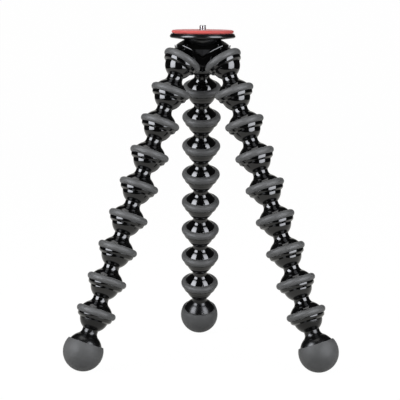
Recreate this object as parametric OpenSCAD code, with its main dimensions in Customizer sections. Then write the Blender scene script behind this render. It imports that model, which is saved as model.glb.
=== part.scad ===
// Flexible leg tripod, about 325 mm long when folded straight.
// Three legs of snap-together ball links hang from a hub that carries a round camera seat.
// Origin: centre of the camera seat, on top of the red pad. +Z is up along the camera screw, -Y is the front.

/* [Stance] */
// angle of each leg from the vertical
leg_tilt = 21; // [12:0.5:34]
// angle of each hub socket from the vertical
arm_tilt = 35; // [33:0.5:37]
// number of links in a leg
link_count = 8; // [4:1:8]

/* [Links] */
// distance from one ball centre to the next
link_pitch = 29.9; // [29:0.1:34]
// diameter of the ball on top of each link
ball_d = 26; // [24:0.1:26.4]
// diameter of the neck under the ball
neck_d = 14.1; // [12:0.1:15]
// radius of the fillet where the neck meets the ball
ball_fillet = 1; // [0.4:0.1:1.4]
// radius of the fillet where the neck meets the socket shell
neck_fillet = 5; // [1:0.1:6]
// wall of the socket shell around the ball
socket_wall = 2.9; // [2.6:0.1:3.2]
// radial room between ball and socket
socket_gap = 0.12; // [0.1:0.01:0.14]
// how far the socket lip reaches past the ball's widest place
lip_drop = 2.3; // [2:0.1:2.6]
// length of the glossy band under the grip ring
band_len = 2.6; // [2.2:0.1:3]
// radius of the band's crown along the leg
band_crown = 10.6; // [9:0.2:14]
// inward lean of the band at its upper edge
band_lean = 8; // [5:0.5:11]
// wall of the lip at its mouth
lip_wall = 0.25; // [0.2:0.05:0.5]
// diameter of the moulding core in the top of each ball
core_d = 14; // [8:0.5:15]
// depth of that core from the top of the ball
core_depth = 16; // [8:0.5:17]

/* [Grip rings] */
// rubber around the seat of a grip ring
ring_wall = 3; // [2.7:0.1:3.3]
// thickness of a grip ring along the leg
ring_t = 6.6; // [6:0.1:7]
// height of the ring's middle above the ball centre in the same socket
ring_rise = 5; // [4.8:0.1:5.4]
// depth of the seat that the ring is moulded into
seat_depth = 1; // [0.8:0.05:1.1]
// room between a moulded rubber piece and its seat
seat_gap = 0.05; // [0.03:0.01:0.08]

/* [Feet] */
// rubber around the core of a foot
foot_wall = 3.1; // [2.5:0.1:4]
// distance from the last ball centre to the middle of the foot
foot_drop = 31.4; // [31:0.1:34]
// height of the rubber foot's upper edge above its middle
foot_rim = 8; // [6:0.2:9]

/* [Hub] */
// distance of each hub ball centre from the middle
hub_ball_r = 24.1; // [23.8:0.1:25]
// depth of the hub ball centres below the camera seat
hub_ball_drop = 31.4; // [30.8:0.1:32.8]
// length of the collar behind each hub ring
collar_len = 6; // [5:0.1:6.8]
// thickness of the thin edge that stands out at the back of each collar
edge_t = 0.6; // [0.5:0.1:1]
// radius of that edge's three round fronts
edge_r = 33; // [30:0.5:36]
// width of each of those fronts
edge_w = 36; // [32:0.5:38]
// distance of the hub's three flat sides from the middle
side_r = 18; // [17.4:0.1:18.4]
// distance of the ridge across each panel from the middle
panel_r = 16; // [15.6:0.1:16.6]
// depth of that ridge below the camera seat
panel_drop = 17.2; // [16.6:0.1:18]
// angle by which a panel leans back above its ridge
panel_lean = 32; // [28:0.5:35]
// angle by which a panel leans in below its ridge
panel_draft = 18; // [14:0.5:20]
// width of a panel
panel_w = 28; // [24:0.5:30]
// radius of the hub's upper edge under the plate
roof_top_r = 17.8; // [17:0.1:18.4]
// radius of the hub's shoulder edge
roof_r = 24.2; // [23.4:0.1:25.4]
// drop of the sloping shoulder
roof_drop = 4.4; // [3.8:0.1:6]
// depth of the hub's flat top below the camera seat
hub_top_drop = 8.8; // [8.4:0.1:9.2]

/* [Camera plate] */
// diameter of the black plate
plate_d = 59.6; // [58:0.1:62]
// radius of the plate's rounded rim
rim_round = 1.6; // [1.2:0.1:1.7]
// height of the plate's sloping shoulder between rim and pad
rim_rise = 0.8; // [0.5:0.1:1]
// angle of that shoulder from the vertical
rim_slope = 30; // [20:1:34]
// diameter of the red pad
pad_d = 56.4; // [54:0.1:57]
// thickness of the red pad
pad_t = 3.4; // [3:0.1:3.8]
// radius of the pad's sloping round edge
pad_round = 4.5; // [3.9:0.1:6]
// radius of the bowl-shaped boss under the plate
boss_r = 17.2; // [16.6:0.1:17.6]
// depth of that boss
boss_depth = 5.5; // [4.8:0.1:6]
// radius of the flat at the bottom of the boss
boss_flat_r = 7; // [6:0.1:8]

/* [Camera screw] */
// diameter of the quarter-inch screw
screw_d = 6.35; // [6.35:0.05:9.5]
// height of the screw above the seat
screw_len = 4.2; // [4:0.1:6]
// depth of the screw's end below the seat
screw_reach = 26; // [24:0.5:27]
// diameter of the flange that clamps the plate
flange_d = 14; // [12:0.5:18]
// thickness of that flange
flange_t = 1.2; // [1:0.1:1.6]
// diameter of the shoulder between flange and seat
shoulder_d = 10; // [9.5:0.1:11]
// depth of the shoulder's top below the seat
shoulder_drop = 0.2; // [0.1:0.05:0.4]
// diameter of the relief between the shoulder and the thread
relief_d = 5.2; // [4.8:0.1:5.6]
// outer diameter of the threaded brass insert
insert_d = 11; // [10.5:0.1:12]
// room between screw, insert and their holes
screw_gap = 0.05; // [0.03:0.01:0.08]

/* [Hidden] */
SIDES = ["left", "right", "rear"];
// directions of the three legs around the hub, seen from above
AZIMUTHS = [210, 330, 90];
ball_r = ball_d / 2;
cavity_r = ball_r + socket_gap;
shell_r = cavity_r + socket_wall;
nose_r = ring_t / 2;
seat_r = shell_r - seat_depth;
ring_r = seat_r + ring_wall;
neck_r = neck_d / 2;
foot_core_r = seat_r;
foot_r = foot_core_r + foot_wall;
boss_sphere = (pow(boss_r, 2) + pow(boss_depth, 2)) / (2 * boss_depth);
// height of the boss sphere's centre and of the flat that rests on the insert
boss_z = boss_sphere - boss_depth - hub_top_drop;
boss_flat_z = boss_z - sqrt(pow(boss_sphere, 2) - pow(boss_flat_r, 2));
plate_edge = plate_d / 2 - rim_round;
// height of the rim's middle and the end of the plate's sloping shoulder under the pad
rim_z = -pad_t - rim_rise - rim_round;
rim_top_r = plate_edge + rim_round * cos(rim_slope)
    - (rim_rise + rim_round - rim_round * sin(rim_slope)) * tan(rim_slope);
// radius of the pad's flat top, where its round edge begins
pad_flat_r = pad_d / 2 - sqrt(pow(pad_round, 2) - pow(pad_round - pad_t, 2));
collar_back = ring_rise + nose_r + collar_len;
// a length that is larger than any piece of the hub
far = 90;
$fn = 96;

// moves a piece from a ball centre at the origin, axis along +Z, to ball number i of a leg
module on_leg(azimuth, i) {
    rotate([0, 0, azimuth])
        translate([hub_ball_r, 0, -hub_ball_drop])
            rotate([0, 180 - leg_tilt, 0])
                translate([0, 0, i * link_pitch])
                    children();
}

// the same for a socket of the hub, with the socket's mouth along +Z
module on_arm(azimuth) {
    rotate([0, 0, azimuth])
        translate([hub_ball_r, 0, -hub_ball_drop])
            rotate([0, 180 - arm_tilt, 0])
                children();
}

module each_arm() {
    for (azimuth = AZIMUTHS)
        on_arm(azimuth)
            children();
}

// right half of a round section
module half_disc(radius) {
    intersection() {
        circle(radius);
        translate([0, -radius])
            square([radius, 2 * radius]);
    }
}

// height over a ball or shell centre at which a fillet to the neck has its own centre
function fillet_height(radius, fillet) = sqrt(pow(radius + fillet, 2) - pow(neck_r + fillet, 2));

// section of a ball or shell with the fillet that leads up to the neck, centre at the origin
module filleted_section(radius, fillet) {
    height = fillet_height(radius, fillet);
    difference() {
        polygon([
            [0, -height],
            [neck_r + fillet, -height],
            [0, 0]
        ]);
        translate([neck_r + fillet, -height])
            circle(fillet);
    }
    half_disc(radius);
}

// section of a ball with its neck, ball centre at the origin
module ball_section() {
    mirror([0, 1])
        filleted_section(ball_r, ball_fillet);
    square([neck_r, link_pitch - fillet_height(shell_r, neck_fillet)]);
}

// section of the part of a shell that is above a given height over the socket centre
module above(height) {
    intersection() {
        children();
        translate([0, -far])
            square([far, far - height]);
    }
}

// section of the crowned band and bevelled lip under a ring, socket centre at the origin
module lip_section() {
    band_top = nose_r - ring_rise;
    band_low = band_top + band_len;
    crown_mid = [shell_r - band_crown * cos(band_lean), band_top - band_crown * sin(band_lean)];
    band_low_r = crown_mid[0] + sqrt(pow(band_crown, 2) - pow(band_low - crown_mid[1], 2));
    intersection() {
        translate(crown_mid)
            circle(band_crown);
        polygon([
            [0, band_top],
            [shell_r, band_top],
            [shell_r, band_low],
            [band_low_r, band_low],
            [cavity_r + lip_wall, lip_drop],
            [0, lip_drop]
        ]);
    }
}

// section of the seat for a ring, socket centre at the origin
module seat_section() {
    intersection() {
        half_disc(seat_r);
        translate([0, -ring_rise - nose_r])
            square([shell_r, ring_t]);
    }
}

// section of a whole socket without its cavity, socket centre at the origin, its shell as the child
module socket_section() {
    above(ring_rise + nose_r)
        children();
    seat_section();
    lip_section();
}

// section of a grip ring, socket centre at the origin
module ring_section() {
    difference() {
        translate([0, -ring_rise])
            union() {
                translate([ring_r - nose_r, 0])
                    circle(nose_r);
                translate([0, -nose_r])
                    square([ring_r - nose_r, ring_t]);
            }
        circle(seat_r + seat_gap);
    }
}

// one link: ball on top, neck, and the socket for the next ball
module link() {
    color("#17181a")
        rotate_extrude()
            difference() {
                union() {
                    ball_section();
                    translate([0, link_pitch])
                        socket_section()
                            filleted_section(shell_r, neck_fillet);
                }
                translate([0, link_pitch])
                    circle(cavity_r);
                translate([0, -ball_r])
                    square([core_d / 2, core_depth]);
            }
}

module ring() {
    color("#63676a")
        rotate_extrude()
            ring_section();
}

// ball and core of a foot
module foot_stud() {
    color("#17181a")
        rotate_extrude()
            difference() {
                union() {
                    ball_section();
                    translate([0, link_pitch]) {
                        above(link_pitch - foot_drop + foot_rim)
                            filleted_section(shell_r, neck_fillet);
                        half_disc(foot_core_r);
                    }
                }
                translate([0, -ball_r])
                    square([core_d / 2, core_depth]);
            }
}

// round rubber foot with its upper edge cut level
module foot_pad() {
    color("#595c5f")
        rotate_extrude()
            difference() {
                intersection() {
                    translate([0, foot_drop])
                        half_disc(foot_r);
                    translate([0, foot_drop - foot_rim])
                        square([foot_r, foot_rim + foot_r]);
                }
                translate([0, link_pitch])
                    circle(foot_core_r + seat_gap);
            }
}

// outline that the hub's collars and flat sides stay inside
module roof() {
    rotate_extrude()
        polygon([
            [0, -hub_top_drop],
            [roof_top_r, -hub_top_drop],
            [roof_r, -hub_top_drop - roof_drop],
            [roof_r, -far],
            [0, -far]
        ]);
}

// room in front of the arms, up to a given distance behind the socket centres
module before(distance) {
    each_arm()
        translate([-far / 2, -far / 2, -distance])
            cube([far, far, far]);
}

// three-sided middle of the hub, cut off level with the backs of the rings
module core() {
    difference() {
        translate([0, 0, -far / 2])
            linear_extrude(height = far / 2 - hub_top_drop)
                polygon([for (azimuth = AZIMUTHS) 2 * side_r * [cos(azimuth), sin(azimuth)]]);
        before(ring_rise + nose_r);
    }
}

// room in front of the three panels, which lean back above a ridge
module panel_room() {
    difference() {
        for (azimuth = AZIMUTHS)
            rotate([90, 0, azimuth + 180])
                linear_extrude(height = panel_w, center = true)
                    polygon([
                        [panel_r - panel_drop * tan(panel_lean), 0],
                        [panel_r, -panel_drop],
                        [panel_r - (far / 2 - panel_drop) * tan(panel_draft), -far / 2],
                        [far, -far / 2],
                        [far, 0]
                    ]);
        before(collar_back - edge_t);
    }
}

// slice of a large post, with its round front as far from the middle as the hub's shoulder edge
module round_front(azimuth) {
    rotate([0, 0, azimuth])
        intersection() {
            translate([edge_r - roof_r, 0, -far / 2])
                cylinder(r = edge_r, h = far / 2 - hub_top_drop);
            translate([-far, -edge_w / 2, -far])
                cube([far, edge_w, far]);
        }
}

// thin edges that stand out at the back of the collars, under the panels
module collar_edge() {
    difference() {
        for (azimuth = AZIMUTHS)
            round_front(azimuth);
        before(collar_back - edge_t);
        difference() {
            translate([0, 0, -far])
                cylinder(r = far, h = far);
            before(collar_back);
        }
    }
}

// room around a hub ring, so that the collars and sockets leave it free
module ring_room() {
    rotate_extrude()
        difference() {
            translate([0, -ring_rise - nose_r])
                square([ring_r + 2 * seat_gap, ring_t]);
            circle(seat_r);
        }
}

module hub_body() {
    color("#17181a")
        difference() {
            union() {
                difference() {
                    intersection() {
                        core();
                        roof();
                    }
                    panel_room();
                }
                collar_edge();
                each_arm()
                    rotate_extrude()
                        socket_section()
                            half_disc(shell_r);
            }
            each_arm()
                sphere(cavity_r);
            each_arm()
                ring_room();
            translate([0, 0, boss_z])
                sphere(boss_sphere + screw_gap);
            translate([0, 0, -screw_reach - flange_t])
                cylinder(d = insert_d + 2 * screw_gap, h = far);
        }
}

module hub_rings() {
    each_arm()
        ring();
}

// brass insert in the middle of the hub
module hub_insert() {
    color("#b08d4a")
        translate([0, 0, -screw_reach - flange_t])
            difference() {
                cylinder(d = insert_d, h = screw_reach + flange_t + boss_flat_z);
                translate([0, 0, flange_t])
                    cylinder(d = screw_d + 2 * screw_gap, h = far);
            }
}

// black dish that carries the pad
module top_plate() {
    color("#1b1c1e")
        difference() {
            union() {
                rotate_extrude()
                    polygon([
                        [0, -pad_t],
                        [rim_top_r, -pad_t],
                        [plate_edge + rim_round * cos(rim_slope), rim_z + rim_round * sin(rim_slope)],
                        [plate_edge, rim_z],
                        [plate_edge, rim_z - rim_round],
                        [boss_r, -hub_top_drop],
                        [0, -hub_top_drop]
                    ]);
                rotate_extrude()
                    translate([plate_edge, rim_z])
                        circle(rim_round);
                intersection() {
                    translate([0, 0, boss_z])
                        sphere(boss_sphere);
                    translate([0, 0, boss_flat_z])
                        cylinder(r = boss_r + rim_round, h = rim_z - boss_flat_z);
                }
            }
            translate([0, 0, -pad_t - flange_t])
                cylinder(d = flange_d + 2 * screw_gap, h = far);
            translate([0, 0, -far])
                cylinder(d = screw_d + 2 * screw_gap, h = far);
        }
}

// red pad with a rounded edge
module grip_pad() {
    color("#c8504c")
        rotate_extrude()
            difference() {
                intersection() {
                    union() {
                        square([2 * pad_flat_r, far], center = true);
                        translate([pad_flat_r, -pad_round])
                            circle(pad_round);
                    }
                    translate([0, -pad_t])
                        square([pad_d / 2, pad_t]);
                }
                translate([0, -far / 2])
                    square([shoulder_d / 2 + screw_gap, far]);
            }
}

// camera screw with the flange that clamps the plate to the hub
module camera_screw() {
    color("#c9cbcd") {
        translate([0, 0, -screw_reach])
            cylinder(d = screw_d, h = screw_reach - pad_t);
        translate([0, 0, -pad_t])
            cylinder(d = relief_d, h = pad_t + screw_len);
        cylinder(d = screw_d, h = screw_len);
        translate([0, 0, -pad_t - flange_t])
            cylinder(d = flange_d, h = flange_t);
        translate([0, 0, -pad_t])
            cylinder(d = shoulder_d, h = pad_t - shoulder_drop);
    }
}

hub_body();
hub_insert();
hub_rings();
top_plate();
grip_pad();
camera_screw();
for (s = [0 : len(SIDES) - 1]) {
    for (i = [1 : link_count]) {
        on_leg(AZIMUTHS[s], i - 1) link();
        on_leg(AZIMUTHS[s], i) ring();
    }
    on_leg(AZIMUTHS[s], link_count) foot_stud();
    on_leg(AZIMUTHS[s], link_count) foot_pad();
}
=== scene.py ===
import math

import bpy
from mathutils import Euler, Matrix, Vector


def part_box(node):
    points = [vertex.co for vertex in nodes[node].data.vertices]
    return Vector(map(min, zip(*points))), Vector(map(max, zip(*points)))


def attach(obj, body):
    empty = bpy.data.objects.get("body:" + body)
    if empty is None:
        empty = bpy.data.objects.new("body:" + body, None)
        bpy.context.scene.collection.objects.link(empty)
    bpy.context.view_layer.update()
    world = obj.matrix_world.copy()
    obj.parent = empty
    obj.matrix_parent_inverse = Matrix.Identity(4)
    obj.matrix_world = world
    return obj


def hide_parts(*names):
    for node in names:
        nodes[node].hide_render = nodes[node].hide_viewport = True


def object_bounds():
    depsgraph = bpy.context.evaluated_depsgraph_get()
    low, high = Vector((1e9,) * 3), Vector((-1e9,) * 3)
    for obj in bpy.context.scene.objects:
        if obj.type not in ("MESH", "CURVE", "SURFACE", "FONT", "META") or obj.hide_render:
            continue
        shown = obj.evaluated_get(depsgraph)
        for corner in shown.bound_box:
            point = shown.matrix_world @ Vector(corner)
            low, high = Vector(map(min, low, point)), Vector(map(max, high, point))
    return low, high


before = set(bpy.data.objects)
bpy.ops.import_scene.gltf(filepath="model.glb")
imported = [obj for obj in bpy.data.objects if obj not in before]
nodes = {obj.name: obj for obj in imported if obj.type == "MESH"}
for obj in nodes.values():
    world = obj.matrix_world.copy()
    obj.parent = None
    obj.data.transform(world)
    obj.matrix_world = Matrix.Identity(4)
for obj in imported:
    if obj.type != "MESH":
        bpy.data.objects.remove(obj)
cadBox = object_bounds()
mm = 0.001
floorZ = cadBox[0][2]
print("frame loaded", len(nodes), "nodes")


# node helpers
def newMaterial(name):
    material = bpy.data.materials.new(name)
    material.use_nodes = True
    tree = material.node_tree
    tree.nodes.clear()
    output = tree.nodes.new("ShaderNodeOutputMaterial")
    shader = tree.nodes.new("ShaderNodeBsdfPrincipled")
    tree.links.new(shader.outputs["BSDF"], output.inputs["Surface"])
    return material, tree, shader


def addNoise(tree, scale, detail, roughness=0.5, stretch=(1, 1, 1)):
    coords = tree.nodes.new("ShaderNodeTexCoord")
    mapping = tree.nodes.new("ShaderNodeMapping")
    mapping.inputs["Scale"].default_value = stretch
    noise = tree.nodes.new("ShaderNodeTexNoise")
    noise.inputs["Scale"].default_value = scale
    noise.inputs["Detail"].default_value = detail
    noise.inputs["Roughness"].default_value = roughness
    tree.links.new(coords.outputs["Object"], mapping.inputs["Vector"])
    tree.links.new(mapping.outputs["Vector"], noise.inputs["Vector"])
    return noise.outputs["Fac"]


noiseSpan = (0.3, 0.7)  # where most of a noise lies


def addRange(tree, value, low, high, fromLow=noiseSpan[0], fromHigh=noiseSpan[1]):
    ramp = tree.nodes.new("ShaderNodeMapRange")
    ramp.inputs["From Min"].default_value = fromLow
    ramp.inputs["From Max"].default_value = fromHigh
    ramp.inputs["To Min"].default_value = low
    ramp.inputs["To Max"].default_value = high
    tree.links.new(value, ramp.inputs["Value"])
    return ramp.outputs["Result"]


def addTint(tree, value, dark, light):
    ramp = tree.nodes.new("ShaderNodeValToRGB")
    for stop, place, colour in zip(ramp.color_ramp.elements, noiseSpan, (dark, light)):
        stop.position, stop.color = place, (*colour, 1)
    tree.links.new(value, ramp.inputs["Fac"])
    return ramp.outputs["Color"]


# colour and roughness follow the same noise
def addFinish(tree, shader, noise, look):
    tree.links.new(addTint(tree, noise, look["dark"], look["light"]), shader.inputs["Base Color"])
    tree.links.new(addRange(tree, noise, *look["rough"]), shader.inputs["Roughness"])


def addBump(tree, shader, height, strength, distance):
    bump = tree.nodes.new("ShaderNodeBump")
    bump.inputs["Strength"].default_value = strength
    bump.inputs["Distance"].default_value = distance
    tree.links.new(height, bump.inputs["Height"])
    tree.links.new(bump.outputs["Normal"], shader.inputs["Normal"])
    return bump


# black plastic, glossy on the links and the hub, satin on the studs in the feet
blackLook = {"dark": (0.0014, 0.0014, 0.0015), "light": (0.0024, 0.0024, 0.0025), "rough": (0.03, 0.06), "ior": 1.5}
studLook = {"dark": (0.002, 0.002, 0.0021), "light": (0.0035, 0.0035, 0.0036), "rough": (0.2, 0.27), "ior": 1.38}
mouldLook = {"smudge": 160, "ripple": 420, "bump": 0.04, "height": 0.2 * mm, "edge": 0.3 * mm, "edgeRays": 6}


def makeBlackPlastic(name, look):
    material, tree, shader = newMaterial(name)
    shader.inputs["IOR"].default_value = look["ior"]
    addFinish(tree, shader, addNoise(tree, mouldLook["smudge"], 4), look)
    bump = addBump(tree, shader, addNoise(tree, mouldLook["ripple"], 2), mouldLook["bump"], mouldLook["height"])
    # softly rounded edges, as they come out of a mould
    bevel = tree.nodes.new("ShaderNodeBevel")
    bevel.samples = mouldLook["edgeRays"]
    bevel.inputs["Radius"].default_value = mouldLook["edge"]
    tree.links.new(bevel.outputs["Normal"], bump.inputs["Normal"])
    return material


# rubber of the rings, the feet and the red pad
ringLook = {"dark": (0.112, 0.114, 0.116), "light": (0.134, 0.136, 0.138), "rough": (0.44, 0.54),
            "cloud": 90, "grain": 1600, "bump": 0.3, "shine": 0.23, "bloom": 0.02}
footLook = {"dark": (0.096, 0.098, 0.1), "light": (0.122, 0.124, 0.126), "rough": (0.5, 0.62),
            "cloud": 70, "grain": 1500, "bump": 0.35, "shine": 0.18, "bloom": 0.02}
padLook = {"dark": (0.72, 0.088, 0.078), "light": (0.8, 0.108, 0.096), "rough": (0.62, 0.7),
           "cloud": 120, "grain": 1800, "bump": 0.05, "shine": 0.3, "bloom": 0.4}
rubberLook = {"ior": 1.45, "bloomRough": 0.4, "grainRough": 0.65, "height": 0.4 * mm}


def makeRubber(name, look):
    material, tree, shader = newMaterial(name)
    shader.inputs["IOR"].default_value = rubberLook["ior"]
    shader.inputs["Specular IOR Level"].default_value = look["shine"]
    shader.inputs["Sheen Weight"].default_value = look["bloom"]
    shader.inputs["Sheen Roughness"].default_value = rubberLook["bloomRough"]
    addFinish(tree, shader, addNoise(tree, look["cloud"], 3), look)
    grain = addNoise(tree, look["grain"], 4, rubberLook["grainRough"])
    addBump(tree, shader, grain, look["bump"], rubberLook["height"])
    return material


# black coat of the plate
plateLook = {"dark": (0.003, 0.003, 0.0032), "light": (0.005, 0.005, 0.0054), "rough": (0.18, 0.26),
             "speck": 900, "grain": 2200, "bump": 0.06, "height": 0.2 * mm}


def makePlateCoat():
    material, tree, shader = newMaterial("satinBlack")
    addFinish(tree, shader, addNoise(tree, plateLook["speck"], 3), plateLook)
    addBump(tree, shader, addNoise(tree, plateLook["grain"], 2), plateLook["bump"], plateLook["height"])
    return material


# brushed metal of the screw and the insert
steelLook = {"dark": (0.3, 0.3, 0.3), "light": (0.4, 0.4, 0.4), "rough": (0.06, 0.11)}
brassLook = {"dark": (0.42, 0.27, 0.09), "light": (0.52, 0.34, 0.12), "rough": (0.24, 0.34)}
brushLook = {"scale": 300, "fineness": 0.6, "stretch": (1, 1, 12), "bump": 0.05, "height": 0.1 * mm}


def makeMetal(name, look):
    material, tree, shader = newMaterial(name)
    shader.inputs["Metallic"].default_value = 1.0
    brushed = addNoise(tree, brushLook["scale"], 3, brushLook["fineness"], brushLook["stretch"])
    addFinish(tree, shader, brushed, look)
    addBump(tree, shader, brushed, brushLook["bump"], brushLook["height"])
    return material


black = makeBlackPlastic("glossBlack", blackLook)
studBlack = makeBlackPlastic("satinStud", studLook)
ringRubber = makeRubber("ringRubber", ringLook)
footRubber = makeRubber("footRubber", footLook)
padRubber = makeRubber("padRubber", padLook)
plateCoat = makePlateCoat()
steel = makeMetal("brightSteel", steelLook)
brass = makeMetal("brass", brassLook)

# the first part of a node's name that fits gives its finish
finishes = (("hub_insert", brass), ("camera_screw", steel), ("grip_pad", padRubber), ("top_plate", plateCoat),
            ("foot_pad", footRubber), ("foot_stud", studBlack), ("ring", ringRubber), ("", black))
sharpEdge = {"solid": 25, "turned": 35}  # degrees


def smoothFaces(obj, angle):
    for face in obj.data.polygons:
        face.use_smooth = True
    split = obj.modifiers.new("edges", "EDGE_SPLIT")
    split.split_angle = math.radians(angle)


for name, obj in nodes.items():
    obj.data.materials.clear()
    obj.data.materials.append(next(finish for word, finish in finishes if word in name))
    smoothFaces(obj, sharpEdge["solid"])
print("materials set")


# turned pieces, each made of rings of (radius, height)
def latheFaces(rows, count):
    verts = []
    for ring in rows:
        for k, (r, z) in enumerate(ring):
            turn = 2 * math.pi * k / count
            verts.append((r * math.cos(turn), r * math.sin(turn), z))
    faces = []
    for i in range(len(rows) - 1):
        for k in range(count):
            n = (k + 1) % count
            faces.append((i * count + k, i * count + n, (i + 1) * count + n, (i + 1) * count + k))
    return verts, faces


def addTurned(name, verts, faces, material):
    mesh = bpy.data.meshes.new(name)
    mesh.from_pydata(verts, [], faces)
    mesh.materials.append(material)
    obj = bpy.data.objects.new(name, mesh)
    bpy.context.scene.collection.objects.link(obj)
    smoothFaces(obj, sharpEdge["turned"])
    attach(obj, "hub")
    return obj


# camera screw with its thread, flange and shoulder
screwLook = {"pitch": 1.27 * mm, "depth": 0.62 * mm, "flank": 1.35, "row": 0.06 * mm,
             "chamfer": 0.5 * mm, "around": 72}
flangeSize = {"flange": 7 * mm, "flangeLow": -4.6 * mm, "flangeTop": -3.4 * mm,
              "shoulder": 5 * mm, "shoulderTop": -0.2 * mm, "relief": 2.6 * mm, "crown": 3.175 * mm}


def threadRadius(z, share, top):
    phase = (z / screwLook["pitch"] - share) % 1.0
    wave = screwLook["flank"] * abs(2 * phase - 1) - (screwLook["flank"] - 1) / 2
    runIn = (top - z) / screwLook["chamfer"]
    return flangeSize["crown"] - screwLook["depth"] * (1 - max(0.0, min(1.0, wave, runIn)))


def makeScrew():
    low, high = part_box("camera_screw")
    count = screwLook["around"]
    crown, flange, shoulder, relief = (flangeSize[part] for part in ("crown", "flange", "shoulder", "relief"))
    flangeLow, flangeTop, shoulderTop = (flangeSize[part] for part in ("flangeLow", "flangeTop", "shoulderTop"))
    profile = [(crown, low[2]), (crown, flangeLow), (flange, flangeLow), (flange, flangeTop), (shoulder, flangeTop),
               (shoulder, shoulderTop), (relief, shoulderTop), (relief, 0)]
    rows = [[spot] * count for spot in profile]
    height = high[2]
    steps = int(height / screwLook["row"])
    for step in range(steps + 1):
        z = height * step / steps
        rows.append([(threadRadius(z, k / count, height), z) for k in range(count)])
    verts, faces = latheFaces(rows, count)
    faces.append(tuple(reversed(range(count))))
    top = (len(rows) - 1) * count
    faces.append(tuple(range(top, top + count)))
    obj = addTurned("cameraThread", verts, faces, steel)
    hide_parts("camera_screw")


# pad with a soft bead around its edge
padShape = {"bore": 5.15 * mm, "top": (3.6 * mm, 1.2 * mm), "foot": 1.9 * mm, "around": 144, "steps": 10}


def makePad():
    low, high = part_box("grip_pad")
    count, steps = padShape["around"], padShape["steps"]
    edge = (high[0] - low[0]) / 2
    wide, tall = padShape["top"]
    foot, deep = padShape["foot"], high[2] - low[2] - tall
    turns = [math.radians(90 * step / steps) for step in range(steps + 1)]
    profile = [(padShape["bore"], low[2])]
    for turn in turns:
        profile.append((edge - foot + foot * math.sin(turn), high[2] - tall - deep * math.cos(turn)))
    for turn in turns[1:]:
        profile.append((edge - wide + wide * math.cos(turn), high[2] - tall + tall * math.sin(turn)))
    profile += [(padShape["bore"], high[2]), (padShape["bore"], low[2])]
    verts, faces = latheFaces([[spot] * count for spot in profile], count)
    obj = addTurned("beadedPad", verts, faces, padRubber)
    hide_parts("grip_pad")


# deep bowl under the plate, which shows above the front panel
bowlShape = {"profile": ((16.2, -8.9), (16.9, -8.9), (17.05, -9.3), (16.7, -10.4), (16.0, -11.8), (15.1, -13.2),
                         (14.5, -14.0), (13.7, -14.0), (16.2, -8.9)), "around": 144}


def makeBowl():
    count = bowlShape["around"]
    rows = [[(r * mm, z * mm)] * count for r, z in bowlShape["profile"]]
    verts, faces = latheFaces(rows, count)
    addTurned("plateBowl", verts, faces, plateCoat)


makeScrew()
makePad()
makeBowl()
print("turned pieces made")


# how much of a white shows to some kinds of ray
def addSeen(tree, rays, share):
    path = tree.nodes.new("ShaderNodeLightPath")
    value = path.outputs[rays[0]]
    for other in rays[1:]:
        either = tree.nodes.new("ShaderNodeMath")
        either.operation = "MAXIMUM"
        tree.links.new(value, either.inputs[0])
        tree.links.new(path.outputs[other], either.inputs[1])
        value = either.outputs["Value"]
    return addRange(tree, value, 0.0, share, 0.0, 1.0)


# floor and backdrop, white to the eye and a little warm in reflections
stageLook = {"half": 0.85, "front": 0.42, "back": 2.6, "bend": 0.6, "bendSteps": 12, "wall": 2.2,
             "colour": (0.6, 0.6, 0.6), "white": (1.04, 1.04, 1.04), "toEye": 0.95,
             "glow": (1.17, 1.155, 1.1), "toGloss": 0.62}


def makePaleSweep():
    material = bpy.data.materials.new("paleSweep")
    material.use_nodes = True
    tree = material.node_tree
    tree.nodes.clear()
    output = tree.nodes.new("ShaderNodeOutputMaterial")
    diffuse = tree.nodes.new("ShaderNodeBsdfDiffuse")
    diffuse.inputs["Color"].default_value = (*stageLook["colour"], 1)
    surface = diffuse.outputs["BSDF"]
    for colour, rays, share in (("white", ["Is Camera Ray"], "toEye"),
                                ("glow", ["Is Glossy Ray", "Is Transmission Ray"], "toGloss")):
        glow = tree.nodes.new("ShaderNodeEmission")
        glow.inputs["Color"].default_value = (*stageLook[colour], 1)
        both = tree.nodes.new("ShaderNodeMixShader")
        tree.links.new(addSeen(tree, rays, stageLook[share]), both.inputs["Fac"])
        tree.links.new(surface, both.inputs[1])
        tree.links.new(glow.outputs["Emission"], both.inputs[2])
        surface = both.outputs["Shader"]
    tree.links.new(surface, output.inputs["Surface"])
    return material


def makeBackdrop():
    half, back, bend, steps = (stageLook[part] for part in ("half", "back", "bend", "bendSteps"))
    rows = [(-stageLook["front"], floorZ), (back - bend, floorZ)]
    for step in range(1, steps + 1):
        turn = math.radians(90 * step / steps)
        rows.append((back - bend + bend * math.sin(turn), floorZ + bend * (1 - math.cos(turn))))
    rows.append((back, floorZ + stageLook["wall"]))
    verts = [(x, y, z) for y, z in rows for x in (-half, half)]
    faces = [(2 * i, 2 * i + 1, 2 * i + 3, 2 * i + 2) for i in range(len(rows) - 1)]
    mesh = bpy.data.meshes.new("backdrop")
    mesh.from_pydata(verts, [], faces)
    for face in mesh.polygons:
        face.use_smooth = True
    obj = bpy.data.objects.new("backdrop", mesh)
    bpy.context.scene.collection.objects.link(obj)
    mesh.materials.append(makePaleSweep())


# dim room around the stage, white where the camera looks past the backdrop
roomLook = {"dim": 0.03, "toEye": 1.0}


def makeRoom():
    world = bpy.data.worlds.new("room")
    bpy.context.scene.world = world
    world.use_nodes = True
    tree = world.node_tree
    tree.nodes.clear()
    output = tree.nodes.new("ShaderNodeOutputWorld")
    path = tree.nodes.new("ShaderNodeLightPath")
    glow = tree.nodes.new("ShaderNodeBackground")
    glow.inputs["Color"].default_value = (1, 1, 1, 1)
    level = addRange(tree, path.outputs["Is Camera Ray"], roomLook["dim"], roomLook["toEye"], 0.0, 1.0)
    tree.links.new(level, glow.inputs["Strength"])
    tree.links.new(glow.outputs["Background"], output.inputs["Surface"])


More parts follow.
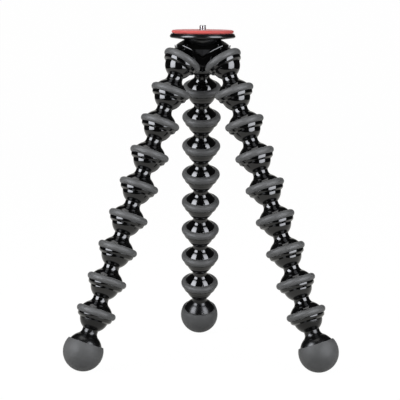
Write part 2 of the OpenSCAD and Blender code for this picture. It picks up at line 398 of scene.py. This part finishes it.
# a tall soft box on each side of the camera, as one lamp for matt surfaces and one for gloss,
# and a weaker box overhead
boxes = [
    {"name": "softLeft", "azimuth": -55, "distance": 0.9, "size": (0.66, 1.2), "low": -0.25, "power": 8.6},
    {"name": "softRight", "azimuth": 50, "distance": 1.05, "size": (0.78, 1.5), "low": -0.38, "power": 9.2},
    {"name": "shineLeft", "azimuth": -55, "distance": 0.78, "size": (0.58, 1.1), "low": -0.25, "shine": 15.5},
    {"name": "shineRight", "azimuth": 46, "distance": 1.0, "size": (0.84, 1.6), "low": -0.46, "shine": 12},
]
topLook = {"place": (-0.25, 0.05, 1.55), "size": 1.0, "power": 7}
# brightness of a box from its rim to its middle
hotSpot = {"middle": (0.5, 0.4), "spread": (0.8, 1.6), "tint": (0.92, 0.94, 1.0),
           "steps": ((0.0, 0.05), (0.2, 0.4), (0.4, 0.75), (0.7, 0.95), (1.0, 1.0))}


def addHotSpot(light):
    light.use_nodes = True
    tree = light.node_tree
    tree.nodes.clear()
    output = tree.nodes.new("ShaderNodeOutputLight")
    glow = tree.nodes.new("ShaderNodeEmission")
    glow.inputs["Color"].default_value = (*hotSpot["tint"], 1)
    spot = tree.nodes.new("ShaderNodeNewGeometry")
    mapping = tree.nodes.new("ShaderNodeMapping")
    across, up = hotSpot["spread"]
    mapping.inputs["Location"].default_value = (-hotSpot["middle"][0] * across, -hotSpot["middle"][1] * up, 0)
    mapping.inputs["Scale"].default_value = (across, up, 0)
    fade = tree.nodes.new("ShaderNodeTexGradient")
    fade.gradient_type = "SPHERICAL"
    ramp = tree.nodes.new("ShaderNodeValToRGB")
    stops = ramp.color_ramp.elements
    for place, level in hotSpot["steps"][1:-1]:
        stops.new(place)
    for stop, (place, level) in zip(stops, hotSpot["steps"]):
        stop.position, stop.color = place, (level, level, level, 1)
    tree.links.new(spot.outputs["Parametric"], mapping.inputs["Vector"])
    tree.links.new(mapping.outputs["Vector"], fade.inputs["Vector"])
    tree.links.new(fade.outputs["Fac"], ramp.inputs["Fac"])
    tree.links.new(ramp.outputs["Color"], glow.inputs["Strength"])
    tree.links.new(glow.outputs["Emission"], output.inputs["Surface"])


def makeBox(spec):
    turn = math.radians(spec["azimuth"])
    out = Vector((math.sin(turn), -math.cos(turn), 0))
    width, height = spec["size"]
    data = bpy.data.lights.new(spec["name"], "AREA")
    data.shape = "RECTANGLE"
    data.size, data.size_y = width, height
    obj = bpy.data.objects.new(spec["name"], data)
    obj.visible_glossy = "shine" in spec
    obj.visible_diffuse = "power" in spec
    if "power" in spec:
        data.energy = spec["power"]
    else:
        data.energy = spec["shine"] * math.pi * width * height
        addHotSpot(data)
    obj.location = out * spec["distance"]
    obj.location.z = spec["low"] + height / 2
    obj.rotation_euler = out.to_track_quat("Z", "Y").to_euler()
    bpy.context.scene.collection.objects.link(obj)


def makeTopBox():
    data = bpy.data.lights.new("boxTop", "AREA")
    data.shape = "SQUARE"
    data.size = topLook["size"]
    data.energy = topLook["power"]
    obj = bpy.data.objects.new("boxTop", data)
    obj.location = topLook["place"]
    bpy.context.scene.collection.objects.link(obj)


makeBackdrop()
makeRoom()
for spec in boxes:
    makeBox(spec)
makeTopBox()
print("stage set")

# camera
cameraLook = {"distance": 1.6295, "height": 0.0423, "turn": -0.6, "pitch": 6.926, "roll": 0.429,
              "lens": 161.3, "sensor": 36, "shift": (-0.0035, 0.0011), "reach": 50}


def makeCamera():
    data = bpy.data.cameras.new("photoCamera")
    data.lens = cameraLook["lens"]
    data.sensor_width = cameraLook["sensor"]
    data.sensor_fit = "HORIZONTAL"
    data.shift_x, data.shift_y = cameraLook["shift"]
    data.clip_end = cameraLook["reach"]
    obj = bpy.data.objects.new("photoCamera", data)
    turn, pitch, roll = (math.radians(cameraLook[part]) for part in ("turn", "pitch", "roll"))
    distance = cameraLook["distance"]
    obj.location = (math.sin(turn) * distance, -math.cos(turn) * distance, cameraLook["height"])
    look = Euler((math.pi / 2 - pitch, 0, turn)).to_matrix()
    obj.rotation_euler = (look @ Matrix.Rotation(roll, 3, "Z")).to_euler()
    bpy.context.scene.collection.objects.link(obj)
    bpy.context.scene.camera = obj


makeCamera()
bpy.context.scene.view_settings.view_transform = "Standard"
